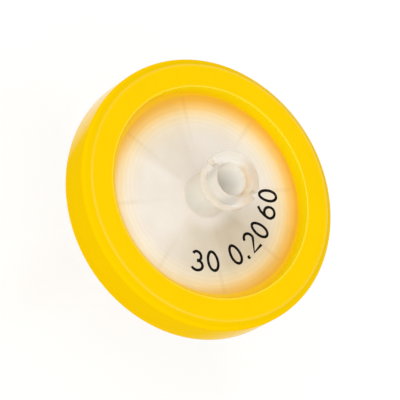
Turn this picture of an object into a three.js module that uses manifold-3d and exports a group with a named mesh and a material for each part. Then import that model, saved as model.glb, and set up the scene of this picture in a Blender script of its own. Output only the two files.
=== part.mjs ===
// Syringe filter: a thin disc filter with a female Luer lock inlet, a male Luer slip outlet
// and a coloured ring moulded around the rim.
//
// Millimetres, +Z up along the filter's axis. The origin is the centre of the inlet's mouth,
// where the syringe is locked on, so the whole filter hangs below it.

import * as THREE from 'three';
import { mergeVertices } from 'three/addons/utils/BufferGeometryUtils.js';
import Module from 'manifold-3d';

const wasm = await Module();
wasm.setup();

// ---------------------------------------------------------------- driving dimensions

// coloured ring
const RING_RADIUS = 18.75;
const RING_HEIGHT = 6.6;           // between its two flat faces
const RING_WALL = 2.75;            // outside the edge of the housings
const RING_GRIP = 1.4;             // how far it reaches in over the housings
const WINDOW_DEPTH = 2.3;          // from the ring's upper face down to the inlet plate
const SHOULDER_WIDTH = 1.1;        // slope between each flat face and the side wall
const SHOULDER_DROP = 0.9;
const SHOULDER_ROUND = 0.35;
const FACE_EDGE_ROUND = 0.12;

// clear housings
const INLET_PLATE = 1.1;
const OUTLET_PLATE = 0.75;
const CHAMBER_DEPTH = 0.45;        // free depth over the membrane
const CHANNEL_DEPTH = 0.4;         // drain channels under the membrane
const SEAL_STEP = 0.1;             // weld plane, below the membrane's upper face

// membrane
const MEMBRANE_THICKNESS = 0.2;
const MEMBRANE_CLAMP = 1.4;        // width of its edge that the housings pinch

// female Luer lock inlet
const HUB_HEIGHT = 8.2;
const HUB_WALL = 0.8;
const LUG_REACH = 0.97;
const LUG_HEIGHT = 2.2;
const LUG_EDGE = 0.15;             // bevel round the mouth end of the lugs
const LUG_UNDERCUT = 0.2;          // bevel on the thread side
const LUG_COUNT = 2;
const LUG_GAP_AT_TOP = 13;         // degrees between neighbouring lugs
const LUG_GAP_AT_BOTTOM = 25;
const LUG_GAP_ANGLE = 206;         // where the first gap lies, degrees from +X
const SOCKET_RADIUS = 2.15;        // at the wide end of the socket's cone
const SOCKET_FLOOR = 1.3;          // from the socket's end to the plate's underside
const LEAD_IN_WIDTH = 0.2;         // short cone ahead of the socket
const LEAD_IN_DEPTH = 0.7;
const MOUTH_CHAMFER_WIDTH = 0.35;
const MOUTH_CHAMFER_DEPTH = 0.15;
const INLET_PORT_RADIUS = 1;

// male Luer slip outlet
const OUTLET_LENGTH = 11.5;        // below the outlet plate
const TIP_RADIUS = 1.98;
const TIP_LENGTH = 8.2;
const TIP_CHAMFER = 0.15;
const OUTLET_BORE_RADIUS = 1;
const BOSS_STEP = 0.67;            // ledge where the tip leaves the boss
const BOSS_FLARE = 1.5;            // how much wider the boss is at the plate

// flow ribs and rings inside the housings
const RIB_COUNT = 8;
const RIB_WIDTH = 0.5;
const RIB_HEIGHT = 0.3;
const RIB_SETBACK = 1.2;           // from the inlet port to where the ribs begin
const FIRST_RIB_ANGLE = 22.5;
const SPREAD_RING_COUNT = 4;
const SPREAD_RING_INSET = 0.35;    // of the outermost one from the chamber's wall
const SPREAD_RING_PITCH = 0.65;
const SPREAD_RING_WIDTH = 0.3;
const SPREAD_RING_HEIGHT = 0.2;
const SUPPORT_RING_START = 1.6;    // from the outlet bore to the first ring
const SUPPORT_RING_PITCH = 2.4;
const SUPPORT_RING_WIDTH = 1.2;
const DRAIN_WIDTH = 0.9;

// clearances and shared values
const BOND_GAP = 0.02;             // between the housings' edge and the ring around them
const MEMBRANE_EDGE_GAP = 0.1;
const LUER_TAPER = 0.03;           // radius lost for each millimetre of cone (6 % on diameter)
const BITE = 0.2;                  // how far a joined feature reaches into what carries it
const SEGMENTS = 48;
const ROUND_STEPS = 3;
const RADIAN = Math.PI / 180;

// ---------------------------------------------------------------- radii and levels that follow

const faceRadius = RING_RADIUS - SHOULDER_WIDTH;
const flangeRadius = RING_RADIUS - RING_WALL;
const windowRadius = flangeRadius - RING_GRIP;
const membraneRadius = windowRadius - MEMBRANE_EDGE_GAP;
const chamberRadius = membraneRadius - MEMBRANE_CLAMP;
const hubRadius = SOCKET_RADIUS + HUB_WALL;
const lugRadius = hubRadius + LUG_REACH;
const leadInRadius = SOCKET_RADIUS + LEAD_IN_WIDTH;
const mouthRadius = leadInRadius + MOUTH_CHAMFER_WIDTH;

const plateTop = -HUB_HEIGHT;
const plateUnder = plateTop - INLET_PLATE;
const socketEnd = plateUnder + SOCKET_FLOOR;
const membraneTop = plateUnder - CHAMBER_DEPTH;
const membraneUnder = membraneTop - MEMBRANE_THICKNESS;
const weldPlane = membraneTop - SEAL_STEP;
const channelFloor = membraneUnder - CHANNEL_DEPTH;
const outletUnder = channelFloor - OUTLET_PLATE;
const tipEnd = outletUnder - OUTLET_LENGTH;
const ringTop = plateTop + WINDOW_DEPTH;
const ringBottom = ringTop - RING_HEIGHT;

// ---------------------------------------------------------------- geometry helpers

// A ring-shaped body turned about the Z axis from [radius, z] points, given in either direction.
function turned(points) {
  const outline = points.map(([radius, z]) => new THREE.Vector2(radius, z));
  if (THREE.ShapeUtils.area(outline) < 0) {
    outline.reverse();
  }
  outline.push(outline[0].clone());
  const geometry = new THREE.LatheGeometry(outline, SEGMENTS);
  geometry.rotateX(Math.PI / 2);
  return geometry;
}

// Points of a corner that is rounded off between the points before and after it.
function rounded(before, corner, after, size) {
  const tip = new THREE.Vector2(...corner);
  const toBefore = new THREE.Vector2(...before).sub(tip).normalize();
  const toAfter = new THREE.Vector2(...after).sub(tip).normalize();
  const halfAngle = Math.acos(toBefore.dot(toAfter)) / 2;
  const centre = toBefore.clone().add(toAfter).setLength(size / Math.sin(halfAngle)).add(tip);
  const first = toBefore.multiplyScalar(size / Math.tan(halfAngle)).add(tip).sub(centre);
  const last = toAfter.multiplyScalar(size / Math.tan(halfAngle)).add(tip).sub(centre);
  return Array.from({ length: ROUND_STEPS + 1 }, (_, i) => {
    const spot = first.clone().lerp(last, i / ROUND_STEPS).setLength(size).add(centre);
    return [spot.x, spot.y];
  });
}

// A closed geometry as a solid that can be joined and cut.
function solidOf(geometry) {
  const bare = geometry.clone();
  bare.deleteAttribute('normal');
  bare.deleteAttribute('uv');
  const welded = mergeVertices(bare, 1e-4);
  const source = welded.index.array;
  const index = [];
  for (let i = 0; i < source.length; i += 3) {
    const [a, b, c] = [source[i], source[i + 1], source[i + 2]];
    if (a !== b && b !== c && c !== a) {
      index.push(a, b, c);
    }
  }
  return new wasm.Manifold(new wasm.Mesh({
    numProp: 3,
    vertProperties: new Float32Array(welded.attributes.position.array),
    triVerts: new Uint32Array(index),
  }));
}

function geometryOf(solid) {
  const mesh = solid.getMesh();
  const geometry = new THREE.BufferGeometry();
  geometry.setAttribute('position', new THREE.BufferAttribute(mesh.vertProperties, 3));
  geometry.setIndex(new THREE.BufferAttribute(mesh.triVerts, 1));
  geometry.computeVertexNormals();
  return geometry;
}

// A straight bar lying along a radius, from one radius to another and from one level to another.
function radialBar(fromRadius, toRadius, width, lowZ, highZ, degrees) {
  const bar = new THREE.BoxGeometry(toRadius - fromRadius, width, highZ - lowZ);
  bar.translate((fromRadius + toRadius) / 2, 0, (lowZ + highZ) / 2);
  bar.rotateZ(degrees * RADIAN);
  return solidOf(bar);
}

function spokes(makeOne) {
  return Array.from({ length: RIB_COUNT }, (_, i) => makeOne(FIRST_RIB_ANGLE + i * 360 / RIB_COUNT));
}

// Profile of equally spaced rings that stand out of a plate, from its centre outwards.
function raisedRings(radii, width, plateZ, crestZ) {
  return radii.flatMap((radius) => [
    [radius - width / 2, plateZ],
    [radius - width / 2, crestZ],
    [radius + width / 2, crestZ],
    [radius + width / 2, plateZ],
  ]);
}

// ---------------------------------------------------------------- inlet housing

// Wedge-shaped gap between two lugs, wider on the thread side.
function lugGap(degrees) {
  const high = BITE;
  const low = -LUG_HEIGHT - BITE;
  const halfTop = lugRadius * Math.sin(LUG_GAP_AT_TOP / 2 * RADIAN);
  const halfBottom = lugRadius * Math.sin(LUG_GAP_AT_BOTTOM / 2 * RADIAN);
  const outline = new THREE.Shape([
    new THREE.Vector2(-halfTop, high),
    new THREE.Vector2(-halfBottom, low),
    new THREE.Vector2(halfBottom, low),
    new THREE.Vector2(halfTop, high),
  ]);
  const wedge = new THREE.ExtrudeGeometry(outline, { depth: lugRadius + BITE, bevelEnabled: false });
  wedge.rotateX(Math.PI / 2);
  wedge.rotateZ((degrees + 90) * RADIAN);
  return solidOf(wedge);
}

function lugs() {
  const collar = solidOf(turned([
    [hubRadius - BITE, 0],
    [lugRadius - LUG_EDGE, 0],
    [lugRadius, -LUG_EDGE],
    [lugRadius, LUG_UNDERCUT - LUG_HEIGHT],
    [lugRadius - LUG_UNDERCUT, -LUG_HEIGHT],
    [hubRadius - BITE, -LUG_HEIGHT],
  ]));
  let cut = collar;
  for (let i = 0; i < LUG_COUNT; i += 1) {
    cut = cut.subtract(lugGap(LUG_GAP_ANGLE + i * 360 / LUG_COUNT));
  }
  return cut;
}

function inletHousing() {
  const outermost = chamberRadius - SPREAD_RING_INSET;
  const spreadRadii = Array.from({ length: SPREAD_RING_COUNT },
    (_, i) => outermost - (SPREAD_RING_COUNT - 1 - i) * SPREAD_RING_PITCH);
  const socketEndRadius = SOCKET_RADIUS + LUER_TAPER * (socketEnd + LEAD_IN_DEPTH);
  const body = solidOf(turned([
    [INLET_PORT_RADIUS, plateUnder],
    ...raisedRings(spreadRadii, SPREAD_RING_WIDTH, plateUnder, plateUnder - SPREAD_RING_HEIGHT),
    [chamberRadius, plateUnder],
    [chamberRadius, membraneTop],
    [membraneRadius + MEMBRANE_EDGE_GAP, membraneTop],
    [membraneRadius + MEMBRANE_EDGE_GAP, weldPlane],
    [flangeRadius, weldPlane],
    [flangeRadius, plateTop],
    [hubRadius, plateTop],
    [hubRadius, 0],
    [mouthRadius, 0],
    [leadInRadius, -MOUTH_CHAMFER_DEPTH],
    [SOCKET_RADIUS, -LEAD_IN_DEPTH],
    [socketEndRadius, socketEnd],
    [INLET_PORT_RADIUS, socketEnd],
  ]));
  const ribs = spokes((degrees) => radialBar(
    INLET_PORT_RADIUS + RIB_SETBACK, chamberRadius + BITE, RIB_WIDTH,
    plateUnder - RIB_HEIGHT, plateUnder + BITE, degrees));
  let housing = body.add(lugs());
  for (const rib of ribs) {
    housing = housing.add(rib);
  }
  return geometryOf(housing);
}

// ---------------------------------------------------------------- outlet housing

function outletHousing() {
  const firstRadius = OUTLET_BORE_RADIUS + SUPPORT_RING_START + SUPPORT_RING_WIDTH / 2;
  const lastRadius = chamberRadius - SUPPORT_RING_WIDTH;
  const supportCount = 1 + Math.floor((lastRadius - firstRadius) / SUPPORT_RING_PITCH);
  const supportRadii = Array.from({ length: supportCount }, (_, i) => firstRadius + i * SUPPORT_RING_PITCH);
  const tipTop = tipEnd + TIP_LENGTH;
  const tipTopRadius = TIP_RADIUS + LUER_TAPER * TIP_LENGTH;
  const body = solidOf(turned([
    [OUTLET_BORE_RADIUS, channelFloor],
    ...raisedRings(supportRadii, SUPPORT_RING_WIDTH, channelFloor, membraneUnder),
    [chamberRadius, channelFloor],
    [chamberRadius, membraneUnder],
    [membraneRadius + MEMBRANE_EDGE_GAP, membraneUnder],
    [membraneRadius + MEMBRANE_EDGE_GAP, weldPlane],
    [flangeRadius, weldPlane],
    [flangeRadius, outletUnder],
    [tipTopRadius + BOSS_STEP + BOSS_FLARE, outletUnder],
    [tipTopRadius + BOSS_STEP, tipTop],
    [tipTopRadius, tipTop],
    [TIP_RADIUS, tipEnd + TIP_CHAMFER],
    [TIP_RADIUS - TIP_CHAMFER, tipEnd],
    [OUTLET_BORE_RADIUS, tipEnd],
  ]));
  const drains = spokes((degrees) => radialBar(
    OUTLET_BORE_RADIUS - BITE, chamberRadius, DRAIN_WIDTH, channelFloor, membraneUnder + BITE, degrees));
  let housing = body;
  for (const drain of drains) {
    housing = housing.subtract(drain);
  }
  return geometryOf(housing);
}

// ---------------------------------------------------------------- membrane and ring

function membrane() {
  const disc = new THREE.CylinderGeometry(membraneRadius, membraneRadius, MEMBRANE_THICKNESS, SEGMENTS);
  disc.rotateX(Math.PI / 2);
  disc.translate(0, 0, (membraneTop + membraneUnder) / 2);
  return disc;
}

// One face of the ring, from its window out to the side wall. side is 1 for the inlet face.
function ringFace(faceZ, side) {
  const inner = [windowRadius, faceZ];
  const edge = [faceRadius, faceZ];
  const shoulder = [RING_RADIUS, faceZ - side * SHOULDER_DROP];
  const wall = [RING_RADIUS, (ringTop + ringBottom) / 2];
  return [
    inner,
    ...rounded(inner, edge, shoulder, FACE_EDGE_ROUND),
    ...rounded(edge, shoulder, wall, SHOULDER_ROUND),
  ];
}

function overmouldedRing() {
  const groove = flangeRadius + BOND_GAP;
  return turned([
    ...ringFace(ringTop, 1),
    ...ringFace(ringBottom, -1).reverse(),
    [windowRadius, outletUnder],
    [groove, outletUnder],
    [groove, plateTop],
    [windowRadius, plateTop],
  ]);
}

// ---------------------------------------------------------------- the assembly

const naturalPlastic = { color: 0xf3ebdf, roughness: 0.35, metalness: 0, transparent: true, opacity: 0.6 };
const pieces = [
  ['inlet_housing', inletHousing(), naturalPlastic],
  ['membrane', membrane(), { color: 0xfbf8f2, roughness: 0.9, metalness: 0 }],
  ['outlet_housing', outletHousing(), naturalPlastic],
  ['overmoulded_ring', overmouldedRing(), { color: 0xfad303, roughness: 0.4, metalness: 0 }],
];

const filter = new THREE.Group();
for (const [name, geometry, look] of pieces) {
  const mesh = new THREE.Mesh(geometry, new THREE.MeshStandardMaterial(look));
  mesh.name = name;
  filter.add(mesh);
}

export default filter;
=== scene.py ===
"""A disc syringe filter: natural plastic housings with a luer hub, and a yellow ring round the rim.

Lengths are millimetres in the part's own frame unless a comment says otherwise, and MM turns them
into metres. Colours are linear.
"""

import math

import bmesh
import bpy
from mathutils import Matrix, Vector


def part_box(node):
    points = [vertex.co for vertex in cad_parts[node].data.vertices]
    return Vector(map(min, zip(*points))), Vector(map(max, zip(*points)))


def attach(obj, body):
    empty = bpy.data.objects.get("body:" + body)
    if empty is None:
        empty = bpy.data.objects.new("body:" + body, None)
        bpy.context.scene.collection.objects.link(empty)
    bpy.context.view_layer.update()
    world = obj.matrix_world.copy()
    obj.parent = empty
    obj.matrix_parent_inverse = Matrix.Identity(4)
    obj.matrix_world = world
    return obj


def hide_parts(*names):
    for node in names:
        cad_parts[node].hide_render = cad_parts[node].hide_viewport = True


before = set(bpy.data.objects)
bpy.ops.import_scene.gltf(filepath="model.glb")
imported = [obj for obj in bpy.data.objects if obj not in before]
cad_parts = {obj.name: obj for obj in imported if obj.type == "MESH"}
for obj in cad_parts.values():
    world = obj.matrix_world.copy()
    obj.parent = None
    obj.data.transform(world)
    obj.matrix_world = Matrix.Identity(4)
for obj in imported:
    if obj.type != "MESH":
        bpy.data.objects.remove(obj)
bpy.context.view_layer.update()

MM = 0.001
COLUMNS = 192                   # round the axis, on a piece that says nothing else
SHARP_ANGLE = math.radians(32)  # an edge that turns by more than this is shaded sharp

# ---------------------------------------------------------------- sizes

ring_low, ring_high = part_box("overmoulded_ring")
inlet_low, inlet_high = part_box("inlet_housing")
outlet_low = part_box("outlet_housing")[0]
membrane_low, membrane_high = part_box("membrane")

BOX_MARGIN = 0.002              # keeps the hub's mouth inside the CAD part's box

RING_RADIUS = ring_high[0] / MM
RING_TOP = ring_high[2] / MM
RING_BOTTOM = ring_low[2] / MM
FLANGE_RADIUS = inlet_high[0] / MM
WELD_PLANE = inlet_low[2] / MM
HUB_TOP = inlet_high[2] / MM - BOX_MARGIN
TIP_END = outlet_low[2] / MM
MEMBRANE_RADIUS = membrane_high[0] / MM
MEMBRANE_TOP = membrane_high[2] / MM
MEMBRANE_UNDER = membrane_low[2] / MM

WINDOW_RADIUS = 14.6
SHOULDER_WIDTH = 1.1
SHOULDER_DROP = 0.9
BOND_GAP = 0.02                 # between the housings' rim and the ring's groove

PLATE_TOP = -8.2
PLATE_UNDER = -9.3
OUTLET_UNDER = -11.1
CHANNEL_FLOOR = -10.35
CHAMBER_RADIUS = 13.1
SEAT_RADIUS = 14.6
BORE_RADIUS = 1.0

HUB_RADIUS = 2.95
LUG_RADIUS = 3.92
LUG_HEIGHT = 2.2
LUG_GAP_ANGLES = (26.0, 206.0)
LUG_GAP_AT_TOP = 6.5            # half width of a gap, in degrees
LUG_GAP_AT_BOTTOM = 12.5
GAP_WALL = 0.6                  # degrees over which a lug's end wall falls to the hub
UNDER_LUG = -LUG_HEIGHT - 0.01  # just under the lugs' lower face

MOUTH_RADIUS = 2.7              # where the hub's top turns down into the lead-in
LEAD_IN_RADIUS = 2.35
LEAD_IN_TOP = -0.15
SOCKET_RADIUS = 2.15            # the luer cone's wide end
SOCKET_TOP = -0.7
SOCKET_END_RADIUS = 1.931
SOCKET_END = -8.0

FOOT_RADIUS = 4.396             # of the cone between the outlet's plate and its tip
NECK_RADIUS = 2.896
TIP_ROOT_RADIUS = 2.226
TIP_END_RADIUS = 1.98
TIP_LENGTH = 8.2

RIB_COUNT = 8
FIRST_RIB_ANGLE = 22.5
RIB_START = 2.2                 # distance from the axis
RIB_WIDTH = 0.5
RIB_HEIGHT = 0.3
RIB_BEVEL = 0.1
RIB_SUNK = 0.2                  # how far the ribs reach into the plate and the chamber's wall
SPREAD_RINGS = (10.8, 11.45, 12.1, 12.75)
SPREAD_RING_WIDTH = 0.3
SPREAD_RING_HEIGHT = 0.2
SUPPORT_RINGS = (3.2, 5.6, 8.0, 10.4)
SUPPORT_RING_WIDTH = 1.2
CREST_ROUND = 0.06

# ---------------------------------------------------------------- mesh helpers


def fillet(points, steps=5):
    """Rounds each (r, z, size) corner of a closed outline. A corner given as (r, z) stays sharp."""
    outline = []
    for i, point in enumerate(points):
        tip = Vector(point[:2])
        if len(point) < 3:
            outline.append((tip.x, tip.y))
            continue
        before = (Vector(points[i - 1][:2]) - tip).normalized()
        after = (Vector(points[(i + 1) % len(points)][:2]) - tip).normalized()
        half = before.angle(after) / 2
        centre = tip + (before + after).normalized() * point[2] / math.sin(half)
        first = tip + before * point[2] / math.tan(half) - centre
        last = tip + after * point[2] / math.tan(half) - centre
        for j in range(steps + 1):
            spoke = first.lerp(last, j / steps).normalized() * point[2]
            outline.append((centre.x + spoke.x, centre.y + spoke.y))
    return outline


def new_piece(name, vertices, faces):
    """A mesh object from millimetre points, shaded smooth except across sharp edges."""
    mesh = bpy.data.meshes.new(name)
    mesh.from_pydata([Vector(v) * MM for v in vertices], [], faces)
    shape = bmesh.new()
    shape.from_mesh(mesh)
    bmesh.ops.remove_doubles(shape, verts=shape.verts, dist=1e-7)
    bmesh.ops.dissolve_degenerate(shape, edges=shape.edges, dist=1e-7)
    shape.to_mesh(mesh)
    shape.free()
    for polygon in mesh.polygons:
        polygon.use_smooth = True
    mesh.set_sharp_from_angle(angle=SHARP_ANGLE)
    piece = bpy.data.objects.new(name, mesh)
    bpy.context.collection.objects.link(piece)
    return piece


def turned(name, outline, columns=COLUMNS, place=None):
    """A closed outline of (radius, z) points turned about Z.

    place(column, r, z) may give another radius, and the angle in degrees, for a point.
    """
    turns = outline[1:] + outline[:1]
    if sum(a[0] * b[1] - b[0] * a[1] for a, b in zip(outline, turns)) < 0:
        outline = outline[::-1]
    rows = len(outline)
    vertices = []
    for column in range(columns):
        for r, z in outline:
            radius, degrees = place(column, r, z) if place else (r, 360 * column / columns)
            angle = math.radians(degrees)
            vertices.append((radius * math.cos(angle), radius * math.sin(angle), z))
    faces = []
    for column in range(columns):
        here, there = column * rows, (column + 1) % columns * rows
        for row in range(rows):
            above = (row + 1) % rows
            faces.append((here + row, there + row, there + above, here + above))
    return new_piece(name, vertices, faces)


def crests(radii, width, plate_z, crest_z):
    """Outline of rings standing out of a plate, from the centre outwards."""
    outline = []
    for radius in radii:
        outline += [
            (radius - width / 2, plate_z),
            (radius - width / 2, crest_z, CREST_ROUND),
            (radius + width / 2, crest_z, CREST_ROUND),
            (radius + width / 2, plate_z),
        ]
    return outline


# ---------------------------------------------------------------- the ring


def ring_face(face_z, side):
    """Outline of one face of the ring, from the window out to the side wall."""
    return [
        (WINDOW_RADIUS, face_z, 0.1),
        (RING_RADIUS - SHOULDER_WIDTH, face_z, 0.16),
        (RING_RADIUS, face_z - side * SHOULDER_DROP, 0.35),
    ]


groove = FLANGE_RADIUS + BOND_GAP
ring = turned("yellow_ring", fillet(
    ring_face(RING_TOP, 1)
    + ring_face(RING_BOTTOM, -1)[::-1]
    + [
        (WINDOW_RADIUS, OUTLET_UNDER),
        (groove, OUTLET_UNDER),
        (groove, PLATE_TOP),
        (WINDOW_RADIUS, PLATE_TOP),
    ]
))

# ---------------------------------------------------------------- inlet housing

STEPS_BETWEEN_GAPS = 90
COLUMNS_IN_GAP = 5
HALF_COLUMNS = COLUMNS_IN_GAP + STEPS_BETWEEN_GAPS
GAP_CLEAR = 15.0                # half width of the sector whose columns follow a gap's slanted sides


def hub_place(column, r, z):
    """Radius and angle of a point of the inlet housing, with the lugs left out inside their gaps."""
    half_turn, step = divmod(column, HALF_COLUMNS)
    centre = LUG_GAP_ANGLES[half_turn]
    down = min(max(-z / LUG_HEIGHT, 0), 1)
    half = LUG_GAP_AT_TOP + (LUG_GAP_AT_BOTTOM - LUG_GAP_AT_TOP) * down
    if step < COLUMNS_IN_GAP:
        degrees = centre + (-half - GAP_WALL, -half, 0, half, half + GAP_WALL)[step]
        in_gap = 0 < step < COLUMNS_IN_GAP - 1
    else:
        share = (step - COLUMNS_IN_GAP) / (STEPS_BETWEEN_GAPS - 1)
        degrees = centre + GAP_CLEAR + share * (180 - 2 * GAP_CLEAR)
        in_gap = False
    on_lug = r > HUB_RADIUS and z > UNDER_LUG
    return (HUB_RADIUS if in_gap and on_lug else r), degrees


inlet = turned("inlet_shell", fillet(
    [(BORE_RADIUS, PLATE_UNDER)]
    + crests(SPREAD_RINGS, SPREAD_RING_WIDTH, PLATE_UNDER, PLATE_UNDER - SPREAD_RING_HEIGHT)
    + [
        (CHAMBER_RADIUS, PLATE_UNDER),
        (CHAMBER_RADIUS, MEMBRANE_TOP),
        (SEAT_RADIUS, MEMBRANE_TOP),
        (SEAT_RADIUS, WELD_PLANE),
        (FLANGE_RADIUS, WELD_PLANE),
        (FLANGE_RADIUS, PLATE_TOP),
        (HUB_RADIUS, PLATE_TOP, 0.25),
        (HUB_RADIUS, -LUG_HEIGHT, 0.08),
        (LUG_RADIUS, -LUG_HEIGHT, 0.25),
        (LUG_RADIUS, HUB_TOP, 0.2),
        (MOUTH_RADIUS, HUB_TOP, 0.08),
        (LEAD_IN_RADIUS, LEAD_IN_TOP, 0.08),
        (SOCKET_RADIUS, SOCKET_TOP),
        (SOCKET_END_RADIUS, SOCKET_END, 0.1),
        (BORE_RADIUS, SOCKET_END),
    ]
), columns=2 * HALF_COLUMNS, place=hub_place)


def radial_bars(name, start, end, width, top, under):
    """Straight bars along the rib directions, with their lower edges bevelled."""
    rows = [
        (-width / 2, top),
        (-width / 2, under + RIB_BEVEL),
        (-width / 2 + RIB_BEVEL, under),
        (width / 2 - RIB_BEVEL, under),
        (width / 2, under + RIB_BEVEL),
        (width / 2, top),
    ]
    count = len(rows)
    vertices, faces = [], []
    for i in range(RIB_COUNT):
        turn = Matrix.Rotation(math.radians(FIRST_RIB_ANGLE + i * 360 / RIB_COUNT), 3, "Z")
        first = len(vertices)
        vertices += [turn @ Vector((x, y, z)) for x in (start, end) for y, z in rows]
        sides = [(k, k + count, (k + 1) % count + count, (k + 1) % count) for k in range(count)]
        ends = [tuple(range(count)), tuple(range(2 * count - 1, count - 1, -1))]
        faces += [tuple(first + k for k in face) for face in sides + ends]
    return new_piece(name, vertices, faces)


def join_solid(piece, other):
    """Joins a closed piece with another one, which is used up."""
    modifier = piece.modifiers.new("join", "BOOLEAN")
    modifier.operation = "UNION"
    modifier.solver = "EXACT"
    modifier.object = other
    bpy.context.view_layer.update()
    joined = piece.evaluated_get(bpy.context.evaluated_depsgraph_get())
    result = bpy.data.meshes.new_from_object(joined)
    piece.modifiers.clear()
    piece.data = result
    piece.data.set_sharp_from_angle(angle=SHARP_ANGLE)
    bpy.data.objects.remove(other)


join_solid(inlet, radial_bars("ribs", RIB_START, CHAMBER_RADIUS + RIB_SUNK, RIB_WIDTH,
                              PLATE_UNDER + RIB_SUNK, PLATE_UNDER - RIB_HEIGHT))

# ---------------------------------------------------------------- outlet housing and membrane

outlet = turned("outlet_shell", fillet(
    [(BORE_RADIUS, CHANNEL_FLOOR)]
    + crests(SUPPORT_RINGS, SUPPORT_RING_WIDTH, CHANNEL_FLOOR, MEMBRANE_UNDER)
    + [
        (CHAMBER_RADIUS, CHANNEL_FLOOR),
        (CHAMBER_RADIUS, MEMBRANE_UNDER),
        (SEAT_RADIUS, MEMBRANE_UNDER),
        (SEAT_RADIUS, WELD_PLANE),
        (FLANGE_RADIUS, WELD_PLANE),
        (FLANGE_RADIUS, OUTLET_UNDER),
        (FOOT_RADIUS, OUTLET_UNDER, 0.3),
        (NECK_RADIUS, TIP_END + TIP_LENGTH, 0.2),
        (TIP_ROOT_RADIUS, TIP_END + TIP_LENGTH, 0.12),
        (TIP_END_RADIUS, TIP_END, 0.15),
        (BORE_RADIUS, TIP_END, 0.06),
    ]
))

membrane = turned("filter_disc", fillet([
    (0, MEMBRANE_TOP),
    (MEMBRANE_RADIUS, MEMBRANE_TOP, 0.05),
    (MEMBRANE_RADIUS, MEMBRANE_UNDER, 0.05),
    (0, MEMBRANE_UNDER),
]))

# ---------------------------------------------------------------- print on the plate

CAP_HEIGHT = 2.6
BASELINE_RADIUS = 12.2
PRINT_CENTRE = (-2.15, 0.14)    # the arc's own centre, a little off the axis
STROKE = 0.4
INK_HEIGHT = 0.025
FIGURE_WIDTH = 0.6              # of a figure's box, which is one unit high
POINT = "."


def oval(cx, cy, rx, ry, start=0, sweep=360, steps=28):
    """Points along an oval, or along a part of it given in degrees."""
    return [
        (cx + rx * math.cos(math.radians(start + sweep * i / steps)),
         cy + ry * math.sin(math.radians(start + sweep * i / steps)))
        for i in range(steps + 1)
    ]


# Strokes of each figure in its box.
FIGURES = {
    "0": [oval(0.3, 0.5, 0.28, 0.5)],
    "2": [oval(0.3, 0.71, 0.28, 0.29, 165, -190) + [(0.03, 0.0), (0.6, 0.0)]],
    "3": [oval(0.28, 0.745, 0.26, 0.255, 150, -240), oval(0.28, 0.265, 0.3, 0.265, 90, -245)],
    "6": [oval(0.3, 0.3, 0.29, 0.3), [(0.01, 0.3), (0.06, 0.55), (0.2, 0.82), (0.42, 1.0)]],
    POINT: [oval(0.0, 0.0, 0.03, 0.03, steps=8)],
}
# Where each figure stands on the arc: its angle in degrees about the arc's centre, counted from +X.
LINE_OF_PRINT = (
    ("3", -35), ("0", -22.5),
    ("0", -3), (POINT, 5), ("2", 14), ("0", 26),
    ("6", 41.5), ("0", 53.5),
)


def on_arc(x, y, degrees, width):
    """A figure's point laid on the plate, with its foot outwards and its head towards the hub."""
    radius = BASELINE_RADIUS - y * CAP_HEIGHT
    middle_radius = BASELINE_RADIUS - CAP_HEIGHT / 2
    angle = math.radians(degrees) + (x - width / 2) * CAP_HEIGHT / middle_radius
    return Vector((
        PRINT_CENTRE[0] + radius * math.cos(angle),
        PRINT_CENTRE[1] + radius * math.sin(angle),
        PLATE_TOP,
    )) * MM


curve = bpy.data.curves.new("print_curve", "CURVE")
curve.dimensions = "3D"
curve.bevel_depth = STROKE / 2 * MM
curve.bevel_resolution = 2
curve.use_fill_caps = True
for figure, degrees in LINE_OF_PRINT:
    width = 0.0 if figure == POINT else FIGURE_WIDTH
    for stroke in FIGURES[figure]:
        spline = curve.splines.new("POLY")
        spline.points.add(len(stroke) - 1)
        for point, (x, y) in zip(spline.points, stroke):
            point.co = (*on_arc(x, y, degrees, width), 1)
strokes = bpy.data.objects.new("print_strokes", curve)
bpy.context.collection.objects.link(strokes)
bpy.context.view_layer.update()
drawn = strokes.evaluated_get(bpy.context.evaluated_depsgraph_get())
print_mesh = bpy.data.meshes.new_from_object(drawn)
bpy.data.objects.remove(strokes)
flatten = INK_HEIGHT / (STROKE / 2)
for vertex in print_mesh.vertices:
    vertex.co.z = PLATE_TOP * MM + (vertex.co.z - PLATE_TOP * MM) * flatten
ink_print = bpy.data.objects.new("printed_figures", print_mesh)
bpy.context.collection.objects.link(ink_print)

# ---------------------------------------------------------------- materials

# Lengths that the ramps in ramp_over run along, each longer than any stop on it.
PLATE_SPAN = 15.0
SOCKET_SPAN = 5.0
DEPTH_SPAN = 10.0
MOUTH_SPAN = 5.0
RING_SPAN = 20.0

# The plate's colour from the hub out to the rim. Near the rim it turns orange: the ring's colour
# seen through the plate, with painted glow of the ring's light and painted shade beside the ring's
# wall.
PLATE_TONES_AND_RIM_GLOW = [
    (0.0, (0.84, 0.785, 0.715)),
    (8.25, (0.84, 0.775, 0.695)),
    (10.2, (0.86, 0.765, 0.615)),
    (11.55, (0.87, 0.69, 0.41)),
    (12.45, (0.85, 0.56, 0.19)),
    (13.5, (0.81, 0.45, 0.06)),
    (14.55, (0.85, 0.49, 0.03)),
]
# The hub's colour, from its mouth down: painted shade at the top, which the lamps light most, and
# painted light deeper in, where less light reaches.
HUB_TONES_AND_PAINTED_LIGHT = [
    (0.0, (0.96, 0.87, 0.77)),
    (0.3, (0.98, 0.90, 0.81)),
    (2.0, (1.0, 0.94, 0.86)),
    (3.0, (1.0, 0.96, 0.89)),
]
# Painted glow: the ring's yellow laid on the plate beside the ring's wall.
RIM_GLOW_YELLOW = (0.90, 0.57, 0.015)
# Painted shade at the hub's mouth and lead-in, tinted by the ring's yellow light, on one side.
MOUTH_SHADE_OCHRE = (0.60, 0.44, 0.25)
LEAD_IN_SHADE_OCHRE = (0.78, 0.54, 0.28)
# Painted light down the socket, against the deep bore's shade.
SOCKET_PAINTED_LIGHT = (1.0, 0.97, 0.91)
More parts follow.
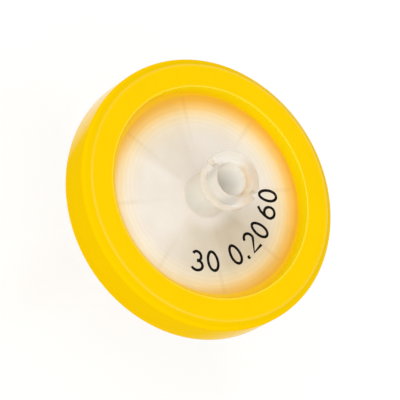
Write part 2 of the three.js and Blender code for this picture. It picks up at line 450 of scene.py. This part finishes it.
# Painted shade on the hub where its surface turns away from the view.
HUB_OUTLINE = (0.5, 0.43, 0.39)
MOUTH_SHADE_SHARE = 0.6              # share of the mouth's painted ochre shade on its shaded side

RING_YELLOWS = ((0.86, 0.553, 0.0), (0.87, 0.563, 0.0))
# Painted light on the window's lip and the side wall, and painted shade on the shoulder, to even out
# how the light falls on them.
LIP_PAINTED_LIGHT_YELLOW = (0.96, 0.74, 0.0)
SHOULDER_PAINTED_SHADE_YELLOW = (0.845, 0.542, 0.0)
WALL_PAINTED_LIGHT_YELLOW = (0.93, 0.576, 0.0)

NYLON_WHITES = ((0.86, 0.84, 0.80), (0.95, 0.93, 0.90))
INK_BLACKS = ((0.002, 0.001, 0.001), (0.006, 0.004, 0.003))

# How much each painted shade darkens the plate: the shade of the ribs, rings and sectors under it, a
# side shaded by the light, and random patches.
SPOKE_SHADE = 0.07
SECTOR_SHADE = 0.08
SHADED_SIDE_SHADE = 0.22
SPREAD_RING_SHADE = 0.015
PATCH_SHADE = 0.16
SHADE_POWERS = (0.8, 1.0, 1.5)  # red, green, blue: a shade is a little warm
SECTOR_TURN = math.radians(6)   # where one of the two sectors of painted shade is centred
# Where the side of painted shade is centred.
SHADED_SIDE_TURN = math.radians(-6)

# How much further out the plate's tones start, on the sides where the light falls so that less of
# the ring's painted glow shows.
SET_BACK_PLUS_Y = 0.8
SET_BACK_MINUS_Y = 2.0
SET_BACK_PLUS_X = 0.2           # and as much less at -X
SET_BACK_LESS = 0.05            # taken off all round
RIM_SHIFT = 0.8                 # how far the rim's painted yellow glow lies further in at -Y, and out at +Y

# How far each part covers what is behind it.
PLATE_COVER = 0.93              # near the hub, and 1 at the rim
HUB_TOP_COVER = 0.40
HUB_COVER = 0.66
EDGE_COVER = 0.4                # added where the hub turns away
SOCKET_COVER = 0.85

FACE_POLISH = 0.02              # specular levels of the ring
WINDOW_CORNER_POLISH = 0.5
SHOULDER_CORNER_POLISH = 0.35
WALL_POLISH = 0.85
FACE_ROUGHNESS = 0.45
POLISHED_ROUGHNESS = 0.2

POLYPROPYLENE_IOR = 1.49
SCATTER_DEPTH = 2 * MM

# Noise scales, in waves to the metre.
PATCH_NOISE = 230.0
CLOUD_NOISE = 260.0
INK_NOISE = 900.0
HOUSING_GRAIN = 2200.0
RING_GRAIN = 2600.0
FIBRE_NOISE = 3500.0
GRAIN_HEIGHT = 0.00005          # metres
FIBRE_HEIGHT = 0.00003


class Graph:
    """A material's nodes, with short ways to make the few kinds used here."""

    def __init__(self, name):
        self.material = bpy.data.materials.new(name)
        self.material.use_nodes = True
        self.nodes = self.material.node_tree.nodes
        self.links = self.material.node_tree.links
        self.surface = self.nodes["Principled BSDF"]

    def node(self, kind, **settings):
        made = self.nodes.new(kind)
        for key, value in settings.items():
            setattr(made, key, value)
        return made

    def feed(self, socket, value):
        """Links a socket to a node's output, or sets it to a number or a colour."""
        if isinstance(value, bpy.types.NodeSocket):
            self.links.new(value, socket)
        else:
            socket.default_value = value

    def math(self, operation, *values):
        made = self.node("ShaderNodeMath", operation=operation)
        for socket, value in zip(made.inputs, values):
            self.feed(socket, value)
        return made.outputs[0]

    def chain(self, operation, first, *others):
        """One operation on a row of values, from the left."""
        for other in others:
            first = self.math(operation, first, other)
        return first

    def ramp(self, value, stops, smooth=True):
        """A ramp whose stops are (position, colour) or (position, grey level)."""
        made = self.node("ShaderNodeValToRGB")
        made.color_ramp.interpolation = "EASE" if smooth else "LINEAR"
        while len(made.color_ramp.elements) < len(stops):
            made.color_ramp.elements.new(1.0)
        for element, (position, shade) in zip(made.color_ramp.elements, stops):
            element.position = position
            element.color = (*shade, 1) if isinstance(shade, tuple) else (shade, shade, shade, 1)
        self.feed(made.inputs[0], value)
        return made.outputs[0]

    def ramp_over(self, length, span, stops, smooth=True):
        """A ramp along a length, with the stops in the same unit and none beyond the span."""
        return self.ramp(self.math("DIVIDE", length, span),
                         [(place / span, shade) for place, shade in stops], smooth)

    def mix(self, share, first, second, blend="MIX"):
        made = self.node("ShaderNodeMix", data_type="RGBA", blend_type=blend)
        for index, value in ((0, share), (6, first), (7, second)):
            self.feed(made.inputs[index], (*value, 1) if isinstance(value, tuple) else value)
        return made.outputs[2]

    def noise(self, scale, detail=2.0, roughness=0.5):
        made = self.node("ShaderNodeTexNoise")
        made.inputs["Scale"].default_value = scale
        made.inputs["Detail"].default_value = detail
        made.inputs["Roughness"].default_value = roughness
        self.links.new(self.place(), made.inputs["Vector"])
        return made.outputs[0]

    def place(self):
        """A point of the surface in the piece's own frame, in metres."""
        return self.node("ShaderNodeTexCoord").outputs["Object"]

    def axes(self):
        """The same point as x, y and z."""
        split = self.node("ShaderNodeSeparateXYZ")
        self.links.new(self.place(), split.inputs[0])
        return split.outputs

    def radius(self):
        """Distance from the filter's axis, in millimetres."""
        x, y, _ = self.axes()
        square = self.math("ADD", self.math("MULTIPLY", x, x), self.math("MULTIPLY", y, y))
        return self.math("MULTIPLY", self.math("SQRT", square), 1 / MM)

    def share_of(self, length, radius):
        """A length in metres as a share of a radius in millimetres: a sine or a cosine."""
        return self.math("DIVIDE", self.math("DIVIDE", length, MM), radius)

    def bump(self, height, strength, distance):
        made = self.node("ShaderNodeBump")
        made.inputs["Strength"].default_value = strength
        made.inputs["Distance"].default_value = distance
        self.links.new(height, made.inputs["Height"])
        self.links.new(made.outputs[0], self.surface.inputs["Normal"])

    def set(self, **values):
        for key, value in values.items():
            self.feed(self.surface.inputs[key.replace("_", " ")], value)
        return self.material


def painted_shade_and_mottle(graph):
    """Painted shade: how dark the shadows of the ribs, rings and sectors inside, and a side shaded
    by the light, make the plate above them, with random patches; from 1 downwards.
    """
    x, y, _ = graph.axes()
    radius = graph.radius()
    turn = graph.math("ARCTAN2", y, x)

    # Painted shade along the ribs.
    past_rib = graph.math("SUBTRACT", turn, math.radians(FIRST_RIB_ANGLE))
    wave = graph.math("SINE", graph.math("MULTIPLY", past_rib, RIB_COUNT / 2))
    off_rib = graph.math("MULTIPLY", graph.math("ABSOLUTE", wave),
                         graph.math("MULTIPLY", radius, 2 / RIB_COUNT))
    spoke_zone = graph.ramp_over(radius, PLATE_SPAN, [
        (3.3, 0), (4.5, 0.2), (9.3, 0.4), (11.1, 1), (13.5, 0.8), (13.95, 0)])
    spokes = graph.math("MULTIPLY", graph.ramp(off_rib, [(0.05, 1), (0.48, 0)]), spoke_zone)

    # Painted shade over the spread rings.
    ring_pitch = SPREAD_RINGS[1] - SPREAD_RINGS[0]
    past_ring = graph.math("SUBTRACT", radius, SPREAD_RINGS[0])
    crest = graph.math("SINE", graph.math("MULTIPLY", past_ring, 2 * math.pi / ring_pitch))
    ring_zone = graph.ramp_over(radius, PLATE_SPAN, [(9.3, 0), (10.5, 1), (12.6, 1), (13.05, 0)])
    rings = graph.math("MULTIPLY", crest, ring_zone)

    # Painted shade in two sectors across the hub, and on one side.
    sector_zone = graph.ramp_over(radius, PLATE_SPAN, [
        (3.0, 0), (5.4, 1), (9.0, 1), (12.6, 0.3), (13.95, 0)])
    past_sector = graph.math("SUBTRACT", turn, SECTOR_TURN)
    two_sides = graph.math("COSINE", graph.math("MULTIPLY", past_sector, 2.0))
    sectors = graph.math("MULTIPLY", graph.ramp(two_sides, [(0.55, 0), (0.80, 1)]), sector_zone)
    one_side = graph.math("COSINE", graph.math("SUBTRACT", turn, SHADED_SIDE_TURN))
    shaded_side = graph.math("MULTIPLY", graph.ramp(one_side, [(0.15, 0), (0.90, 1)]), sector_zone)

    patches = graph.math("SUBTRACT", graph.noise(PATCH_NOISE, 3.0, 0.6), 0.5)
    shade = graph.chain("ADD", *(graph.math("MULTIPLY", pattern, strength) for pattern, strength in (
        (spokes, SPOKE_SHADE),
        (sectors, SECTOR_SHADE),
        (shaded_side, SHADED_SIDE_SHADE),
        (rings, SPREAD_RING_SHADE),
        (patches, PATCH_SHADE),
    )))
    return graph.math("SUBTRACT", 1.0, shade)


def plate_colour(graph, sine, cosine, radius):
    """White plate whose rim shows the ring's colour through it, with painted glow of the ring's
    light and painted shade beside the wall, and painted shade from what lies under it.
    """
    # Painted glow and shade near the rim, starting further in or out by side, as the light falls.
    half_range = (SET_BACK_PLUS_Y - SET_BACK_MINUS_Y) / 2
    set_back = graph.math("ADD", graph.math("MULTIPLY", graph.math("SIGN", sine), half_range),
                          (SET_BACK_PLUS_Y + SET_BACK_MINUS_Y) / 2)
    set_back = graph.chain("MULTIPLY", sine, sine, set_back)
    sideways = graph.math("MULTIPLY", cosine, SET_BACK_PLUS_X)
    set_back = graph.math("ADD", set_back, graph.math("SUBTRACT", sideways, SET_BACK_LESS))
    tone = graph.ramp_over(graph.math("SUBTRACT", radius, set_back), PLATE_SPAN, PLATE_TONES_AND_RIM_GLOW,
                           smooth=False)

    # Painted shade from the ribs, rings and sectors under the plate.
    dark = painted_shade_and_mottle(graph)
    shade = graph.node("ShaderNodeCombineColor")
    for channel, power in enumerate(SHADE_POWERS):
        graph.feed(shade.inputs[channel], graph.math("POWER", dark, power))
    plate = graph.mix(1.0, tone, shade.outputs[0], "MULTIPLY")

    # Painted glow: the ring's yellow laid on the plate beside the ring's wall.
    from_rim = graph.math("SUBTRACT", radius, graph.math("MULTIPLY", sine, RIM_SHIFT))
    rim = graph.ramp_over(from_rim, PLATE_SPAN, [(13.575, 0), (14.025, 1)])
    return graph.mix(rim, plate, RIM_GLOW_YELLOW)


def hub_colour(graph, toward_x_and_y, radius, depth, socket):
    """Pale hub with painted shade, tinted by the ring's yellow light, at its mouth on the side half
    way between +X and +Y, and painted light down its socket.
    """
    tone = graph.ramp_over(depth, DEPTH_SPAN, HUB_TONES_AND_PAINTED_LIGHT)
    mouth_shade_side = graph.ramp(toward_x_and_y, [(0.1, 0), (0.9, 1)])
    mouth = graph.ramp_over(depth, MOUTH_SPAN, [(0.7, 1), (2.2, 0)])
    tone = graph.mix(graph.chain("MULTIPLY", mouth, MOUTH_SHADE_SHARE, mouth_shade_side), tone, MOUTH_SHADE_OCHRE)
    lead_in = graph.chain(
        "MULTIPLY",
        graph.ramp_over(radius, SOCKET_SPAN, [(2.1, 0), (2.2, 1), (2.55, 1), (2.7, 0)]),
        graph.ramp_over(depth, MOUTH_SPAN, [(0.7, 1), (1.2, 0)]),
        mouth_shade_side)
    tone = graph.mix(lead_in, tone, LEAD_IN_SHADE_OCHRE)
    return graph.mix(socket, tone, SOCKET_PAINTED_LIGHT)


def natural_plastic(name):
    """Milky polypropylene, clearer in the hub than in the plate."""
    graph = Graph(name)
    x, y, z = graph.axes()
    radius = graph.radius()
    depth = graph.math("MULTIPLY", z, -1 / MM)
    sine, cosine = graph.share_of(y, radius), graph.share_of(x, radius)
    toward_x_and_y = graph.math("DIVIDE", graph.math("ADD", sine, cosine), math.sqrt(2))

    hub = graph.ramp_over(depth, DEPTH_SPAN, [(7.4, 1), (8.0, 0)])
    socket = graph.ramp_over(radius, SOCKET_SPAN, [(2.1, 1), (2.2, 0)])
    facing = graph.node("ShaderNodeLayerWeight")
    facing.inputs["Blend"].default_value = 0.35
    edge = facing.outputs["Facing"]

    plate_cover = graph.ramp_over(radius, PLATE_SPAN, [(9.0, PLATE_COVER), (12.75, 1)])
    milky = graph.ramp_over(depth, DEPTH_SPAN, [(2.0, HUB_TOP_COVER), (3.0, HUB_COVER)])
    milky = graph.mix(socket, milky, (SOCKET_COVER, SOCKET_COVER, SOCKET_COVER))
    hub_cover = graph.math("ADD", graph.math("MULTIPLY", edge, EDGE_COVER), milky)
    cover = graph.math("ADD", graph.math("MULTIPLY", hub, hub_cover),
                       graph.math("MULTIPLY", graph.math("SUBTRACT", 1.0, hub), plate_cover))

    body = graph.mix(hub, plate_colour(graph, sine, cosine, radius),
                     hub_colour(graph, toward_x_and_y, radius, depth, socket))
    # Painted shade where the hub's surface turns away from the view.
    outline = graph.math("MULTIPLY", graph.math("POWER", edge, 2.0), hub)
    body = graph.mix(outline, body, HUB_OUTLINE)

    graph.bump(graph.noise(HOUSING_GRAIN), strength=0.05, distance=GRAIN_HEIGHT)
    graph.surface.inputs["Subsurface Scale"].default_value = SCATTER_DEPTH
    graph.surface.inputs["Subsurface Radius"].default_value = (1.0, 0.95, 0.9)
    graph.surface.inputs["Specular IOR Level"].default_value = 0.15
    return graph.set(Base_Color=body, Roughness=0.33, IOR=POLYPROPYLENE_IOR, Alpha=cover,
                     Subsurface_Weight=hub)


def yellow_plastic():
    """Matt faces, with the two corners of each face and the side wall polished by the mould; the lip
    and side wall carry painted light, the shoulder painted shade.
    """
    graph = Graph("yellow_polypropylene")
    radius = graph.radius()
    x, _, z = graph.axes()
    corner = RING_RADIUS - SHOULDER_WIDTH

    near_corner = graph.ramp_over(radius, RING_SPAN, [
        (WINDOW_RADIUS + 0.1, WINDOW_CORNER_POLISH),
        (WINDOW_RADIUS + 0.3, FACE_POLISH),
        (corner - 0.3, FACE_POLISH),
        (corner, SHOULDER_CORNER_POLISH),
        (corner + 0.3, FACE_POLISH),
    ])
    middle = (RING_TOP + RING_BOTTOM) / 2 * MM
    from_middle = graph.math("ABSOLUTE", graph.math("SUBTRACT", z, middle))
    near_face = graph.ramp(graph.math("DIVIDE", from_middle, RING_TOP * MM - middle),
                           [(0.94, 0.1), (0.97, 1)])
    corners = graph.math("MULTIPLY", near_corner, near_face)

    side_wall = graph.ramp_over(radius, RING_SPAN, [
        (RING_RADIUS - 0.5, 0), (RING_RADIUS - 0.3, WALL_POLISH)])
    edge_on = graph.ramp(graph.node("ShaderNodeLayerWeight").outputs["Facing"],
                         [(0.66, 0), (0.92, 1)])
    # The wall is smoother towards -X.
    half_cosine = graph.math("MULTIPLY", graph.share_of(x, radius), 0.5)
    smooth_side = graph.ramp(graph.math("ADD", half_cosine, 0.5), [(0.2, 1), (0.55, 0.03)])
    polish = graph.math("MAXIMUM", corners, graph.chain("MULTIPLY", edge_on, smooth_side, side_wall))
    roughness = graph.ramp(graph.math("MAXIMUM", corners, side_wall), [
        (FACE_POLISH, FACE_ROUGHNESS), (0.25, POLISHED_ROUGHNESS)])

    dark_yellow, light_yellow = RING_YELLOWS
    colour = graph.ramp(graph.noise(CLOUD_NOISE, 3.0), [(0.3, dark_yellow), (0.7, light_yellow)])
    # Painted light on the window's lip and inner wall, against the recess's shade.
    lip = graph.ramp_over(radius, RING_SPAN, [(WINDOW_RADIUS + 0.02, 1), (WINDOW_RADIUS + 0.15, 0)])
    colour = graph.mix(lip, colour, LIP_PAINTED_LIGHT_YELLOW)
    # Painted shade on the shoulder, which faces the lamps more than the face does.
    shoulder = graph.ramp_over(radius, RING_SPAN, [
        (corner + 0.05, 0), (corner + 0.2, 1), (RING_RADIUS - 0.3, 1), (RING_RADIUS - 0.05, 0)])
    colour = graph.mix(shoulder, colour, SHOULDER_PAINTED_SHADE_YELLOW)
    # Painted light on the side wall, which gets less light than the face.
    colour = graph.mix(side_wall, colour, WALL_PAINTED_LIGHT_YELLOW)

    graph.bump(graph.noise(RING_GRAIN), strength=0.08, distance=GRAIN_HEIGHT)
    return graph.set(Base_Color=colour, Roughness=roughness, IOR=POLYPROPYLENE_IOR,
                     Specular_IOR_Level=polish)


def filter_paper():
    """White porous nylon."""
    graph = Graph("porous_nylon")
    fibres = graph.noise(FIBRE_NOISE, 4.0, 0.7)
    dark_white, light_white = NYLON_WHITES
    colour = graph.ramp(fibres, [(0.3, dark_white), (0.7, light_white)])
    graph.bump(fibres, strength=0.25, distance=FIBRE_HEIGHT)
    return graph.set(Base_Color=colour, Roughness=0.85)


def black_ink():
    """Matt ink, a little uneven."""
    graph = Graph("black_ink")
    dark, light = INK_BLACKS
    colour = graph.ramp(graph.noise(INK_NOISE, 3.0), [(0.3, dark), (0.7, light)])
    graph.surface.inputs["Specular IOR Level"].default_value = 0.1
    return graph.set(Base_Color=colour, Roughness=0.7)


for piece, material, slot in (
    (ring, yellow_plastic(), "yellow_plastic"),
    (inlet, natural_plastic("natural_inlet"), "natural_plastic"),
    (outlet, natural_plastic("natural_outlet"), "natural_plastic"),
    (membrane, filter_paper(), "membrane_white"),
    (ink_print, black_ink(), "natural_plastic"),
):
    piece.data.materials.clear()
    piece.data.materials.append(material)
    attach(piece, "root")

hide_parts("overmoulded_ring")
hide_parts("inlet_housing")
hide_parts("outlet_housing")
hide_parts("membrane")

# ---------------------------------------------------------------- floor, light and camera

FLOOR_HALF_SIDE = 3.0           # metres
FLOOR_DROP = 0.03               # metres from the outlet's tip to the floor below it
FLOOR_GREY = 0.82
FLOOR_GLOW = 0.15               # brings the floor to white where it is seen directly
WORLD_LIGHT = 0.86              # strength of the world as a light
WORLD_SEEN = 1.0                # its strength where it is seen directly, which is white


def seen_directly(nodes, links):
    """1 for what the camera, a reflection or a clear material sees, 0 for light that falls."""
    rays = nodes.new("ShaderNodeLightPath").outputs
    seen = rays["Is Camera Ray"]
    for other in ("Is Glossy Ray", "Is Transmission Ray"):
        either = nodes.new("ShaderNodeMath")
        either.operation = "MAXIMUM"
        links.new(seen, either.inputs[0])
        links.new(rays[other], either.inputs[1])
        seen = either.outputs[0]
    return seen


floor_mesh = bpy.data.meshes.new("floor")
floor_corners = ((-1, -1), (1, -1), (1, 1), (-1, 1))
floor_mesh.from_pydata([(x * FLOOR_HALF_SIDE, y * FLOOR_HALF_SIDE, 0) for x, y in floor_corners],
                       [], [(0, 1, 2, 3)])
floor = bpy.data.objects.new("floor", floor_mesh)
floor.location.z = TIP_END * MM - FLOOR_DROP
bpy.context.collection.objects.link(floor)
floor_graph = Graph("pale_floor")
glow = floor_graph.math("MULTIPLY", seen_directly(floor_graph.nodes, floor_graph.links), FLOOR_GLOW)
floor_graph.set(Base_Color=(FLOOR_GREY, FLOOR_GREY, FLOOR_GREY, 1), Roughness=0.9,
                Emission_Color=(1, 1, 1, 1), Emission_Strength=glow)
floor_graph.surface.inputs["Specular IOR Level"].default_value = 0.0
floor.data.materials.append(floor_graph.material)

world = bpy.data.worlds.new("studio")
bpy.context.scene.world = world
world.use_nodes = True
world_nodes, world_links = world.node_tree.nodes, world.node_tree.links
sky = world_nodes["Background"]
sky.inputs["Color"].default_value = (1, 1, 1, 1)
strength = world_nodes.new("ShaderNodeMix")
world_links.new(seen_directly(world_nodes, world_links), strength.inputs[0])
strength.inputs[2].default_value = WORLD_LIGHT
strength.inputs[3].default_value = WORLD_SEEN
world_links.new(strength.outputs[0], sky.inputs["Strength"])

ELEVATION = math.radians(56.2)  # of the camera above the ring's face
ROLL = math.radians(58.84)
DISTANCE = 0.42                 # metres from the middle of the ring's face
LENS = 286.6
CLIP_START = 0.01               # metres
OFFSET = (0.00158, 0.00112)     # metres that the axis lies right of, and above, the view's middle

ahead = Vector((0, math.cos(ELEVATION), -math.sin(ELEVATION)))
level_right = Vector((1, 0, 0))
level_up = Vector((0, math.sin(ELEVATION), math.cos(ELEVATION)))
right = level_right * math.cos(ROLL) + level_up * math.sin(ROLL)
up = level_up * math.cos(ROLL) - level_right * math.sin(ROLL)

camera_data = bpy.data.cameras.new("camera")
camera_data.lens = LENS
camera_data.clip_start = CLIP_START
camera = bpy.data.objects.new("camera", camera_data)
rotation = Matrix((right, up, -ahead)).transposed().to_4x4()
centre = Vector((0, 0, RING_TOP * MM))
spot = centre - ahead * DISTANCE - right * OFFSET[0] - up * OFFSET[1]
camera.matrix_world = Matrix.Translation(spot) @ rotation
bpy.context.collection.objects.link(camera)
bpy.context.scene.camera = camera

# Name, place, width and height in metres, and watts. All aim at the middle of the ring's face, and
# the softbox stands behind the camera.
LAMPS = (
    ("front_softbox", centre - ahead * 0.55, 1.3, 0.4, 1.52),
    ("left_overhead_lamp", Vector((-0.165, 0.014, 0.42)), 0.06, 0.06, 0.08),
    ("right_overhead_lamp", Vector((0.19, 0.04, 0.41)), 0.06, 0.06, 0.08),
)

for name, place, width, height, power in LAMPS:
    light = bpy.data.lights.new(name, "AREA")
    light.shape = "RECTANGLE"
    light.size = width
    light.size_y = height
    light.energy = power
    lamp = bpy.data.objects.new(name, light)
    lamp.location = place
    lamp.rotation_euler = (centre - place).to_track_quat("-Z", "Y").to_euler()
    bpy.context.collection.objects.link(lamp)

bpy.context.scene.view_settings.view_transform = "Standard"
